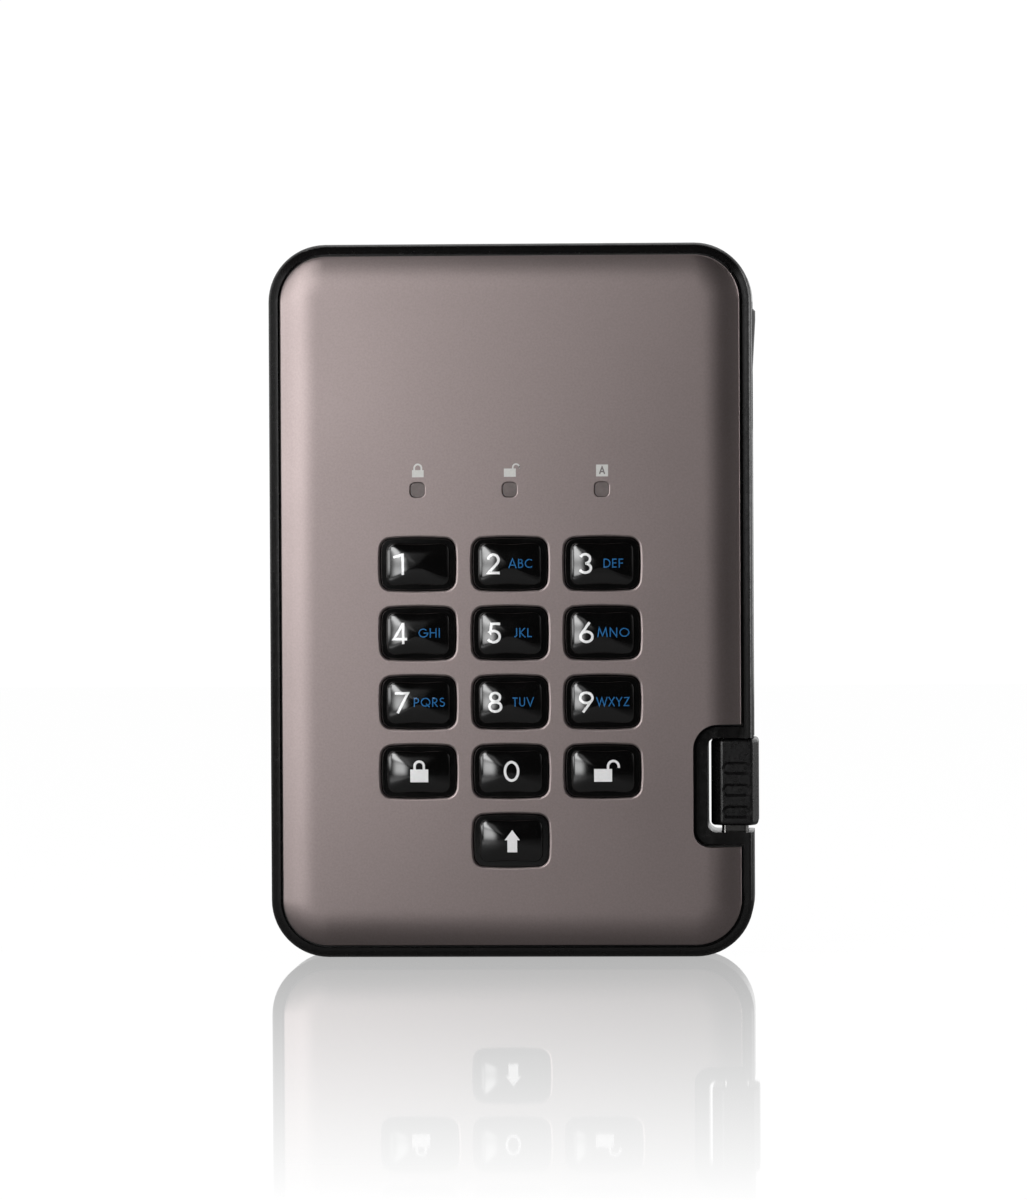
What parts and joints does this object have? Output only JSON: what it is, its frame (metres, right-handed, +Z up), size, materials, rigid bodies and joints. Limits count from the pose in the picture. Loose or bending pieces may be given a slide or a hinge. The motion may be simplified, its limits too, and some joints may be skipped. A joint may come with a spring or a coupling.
{
  "type": "encrypted external solid state drive",
  "caption": "Portable keypad-locked solid state drive: metal face with a grid of domed PIN keys and status lamps, black case, captive USB plug docked in its side.",
  "frame": {"origin": "middle of the flat lower edge that the drive stands on", "axes": "+X to the dock side as seen from the front, +Y from the key face into the drive, +Z up along the long side"},
  "size_m": [0.0848, 0.02, 0.124],
  "materials": {
    "case_black": "fine satin moulding",
    "cover_metal": "satin anodised grey-brown",
    "key_gloss": "clear domed gloss over black, printed legends",
    "seal_rubber": "soft black rubber",
    "mat_silicone": "translucent grey silicone",
    "board_green": "solder mask",
    "chip_black": "moulded epoxy",
    "connector_plastic": "moulded black plastic",
    "screw_steel": "plain steel",
    "lamp_plastic": "clear lamp body",
    "pipe_plastic": "smoked clear plastic",
    "drive_metal": "stamped aluminium",
    "foam_grey": "closed-cell foam",
    "ribbon_white": "flat cable laminate",
    "cable_black": "soft satin jacket and overmould",
    "lead_plastic": "insulated wire",
    "plug_steel": "plated steel",
    "tongue_plastic": "blue insulator",
    "contact_metal": "plated contacts",
    "foot_rubber": "soft black rubber"
  },
  "bodies": {
    "housing": {"case_back": "case_black", "face_cover": "cover_metal", "cover_seal": "seal_rubber", "key_mat": "mat_silicone", "keypad_board": "board_green", "keypad_screws": "screw_steel", "keypad_header": "connector_plastic", "lamp_locked": "lamp_plastic", "lamp_unlocked": "lamp_plastic", "lamp_admin": "lamp_plastic", "light_pipe_locked": "pipe_plastic", "light_pipe_unlocked": "pipe_plastic", "light_pipe_admin": "pipe_plastic", "drive_tray": "drive_metal", "drive_cap": "drive_metal", "drive_board": "board_green", "drive_controller": "chip_black", "drive_memory_1": "chip_black", "drive_memory_2": "chip_black", "drive_memory_3": "chip_black", "drive_memory_4": "chip_black", "drive_plug": "connector_plastic", "drive_pad_1": "seal_rubber", "drive_pad_2": "seal_rubber", "drive_pad_3": "seal_rubber", "drive_pad_4": "seal_rubber", "drive_foam_left": "foam_grey", "drive_foam_right": "foam_grey", "bridge_board": "board_green", "bridge_screws": "screw_steel", "crypto_controller": "chip_black", "secure_processor": "chip_black", "bridge_header": "connector_plastic", "drive_socket": "connector_plastic", "flat_cable": "ribbon_white", "usb_cable": "cable_black", "cable_boot": "cable_black", "cable_leads": "lead_plastic", "plug_grip": "cable_black", "plug_shell": "plug_steel", "plug_tongue": "tongue_plastic", "plug_contacts": "contact_metal", "foot_1": "foot_rubber", "foot_2": "foot_rubber", "foot_3": "foot_rubber", "foot_4": "foot_rubber"},
    "key_1": {"key_1": "key_gloss"},
    "key_2": {"key_2": "key_gloss"},
    "key_3": {"key_3": "key_gloss"},
    "key_4": {"key_4": "key_gloss"},
    "key_5": {"key_5": "key_gloss"},
    "key_6": {"key_6": "key_gloss"},
    "key_7": {"key_7": "key_gloss"},
    "key_8": {"key_8": "key_gloss"},
    "key_9": {"key_9": "key_gloss"},
    "key_lock": {"key_lock": "key_gloss"},
    "key_0": {"key_0": "key_gloss"},
    "key_unlock": {"key_unlock": "key_gloss"},
    "key_shift": {"key_shift": "key_gloss"}
  },
  "joints": [
    {"name": "key_1_press", "type": "slide", "parent": "housing", "child": "key_1", "axis": [0, 1, 0], "range_m": [0, 0.0006], "stiffness_N_per_m": 1500, "deforming": ["key_mat"]},
    {"name": "key_2_press", "type": "slide", "parent": "housing", "child": "key_2", "axis": [0, 1, 0], "range_m": [0, 0.0006], "stiffness_N_per_m": 1500, "deforming": ["key_mat"]},
    {"name": "key_3_press", "type": "slide", "parent": "housing", "child": "key_3", "axis": [0, 1, 0], "range_m": [0, 0.0006], "stiffness_N_per_m": 1500, "deforming": ["key_mat"]},
    {"name": "key_4_press", "type": "slide", "parent": "housing", "child": "key_4", "axis": [0, 1, 0], "range_m": [0, 0.0006], "stiffness_N_per_m": 1500, "deforming": ["key_mat"]},
    {"name": "key_5_press", "type": "slide", "parent": "housing", "child": "key_5", "axis": [0, 1, 0], "range_m": [0, 0.0006], "stiffness_N_per_m": 1500, "deforming": ["key_mat"]},
    {"name": "key_6_press", "type": "slide", "parent": "housing", "child": "key_6", "axis": [0, 1, 0], "range_m": [0, 0.0006], "stiffness_N_per_m": 1500, "deforming": ["key_mat"]},
    {"name": "key_7_press", "type": "slide", "parent": "housing", "child": "key_7", "axis": [0, 1, 0], "range_m": [0, 0.0006], "stiffness_N_per_m": 1500, "deforming": ["key_mat"]},
    {"name": "key_8_press", "type": "slide", "parent": "housing", "child": "key_8", "axis": [0, 1, 0], "range_m": [0, 0.0006], "stiffness_N_per_m": 1500, "deforming": ["key_mat"]},
    {"name": "key_9_press", "type": "slide", "parent": "housing", "child": "key_9", "axis": [0, 1, 0], "range_m": [0, 0.0006], "stiffness_N_per_m": 1500, "deforming": ["key_mat"]},
    {"name": "key_lock_press", "type": "slide", "parent": "housing", "child": "key_lock", "axis": [0, 1, 0], "range_m": [0, 0.0006], "stiffness_N_per_m": 1500, "deforming": ["key_mat"]},
    {"name": "key_0_press", "type": "slide", "parent": "housing", "child": "key_0", "axis": [0, 1, 0], "range_m": [0, 0.0006], "stiffness_N_per_m": 1500, "deforming": ["key_mat"]},
    {"name": "key_unlock_press", "type": "slide", "parent": "housing", "child": "key_unlock", "axis": [0, 1, 0], "range_m": [0, 0.0006], "stiffness_N_per_m": 1500, "deforming": ["key_mat"]},
    {"name": "key_shift_press", "type": "slide", "parent": "housing", "child": "key_shift", "axis": [0, 1, 0], "range_m": [0, 0.0006], "stiffness_N_per_m": 1500, "deforming": ["key_mat"]}
  ]
}
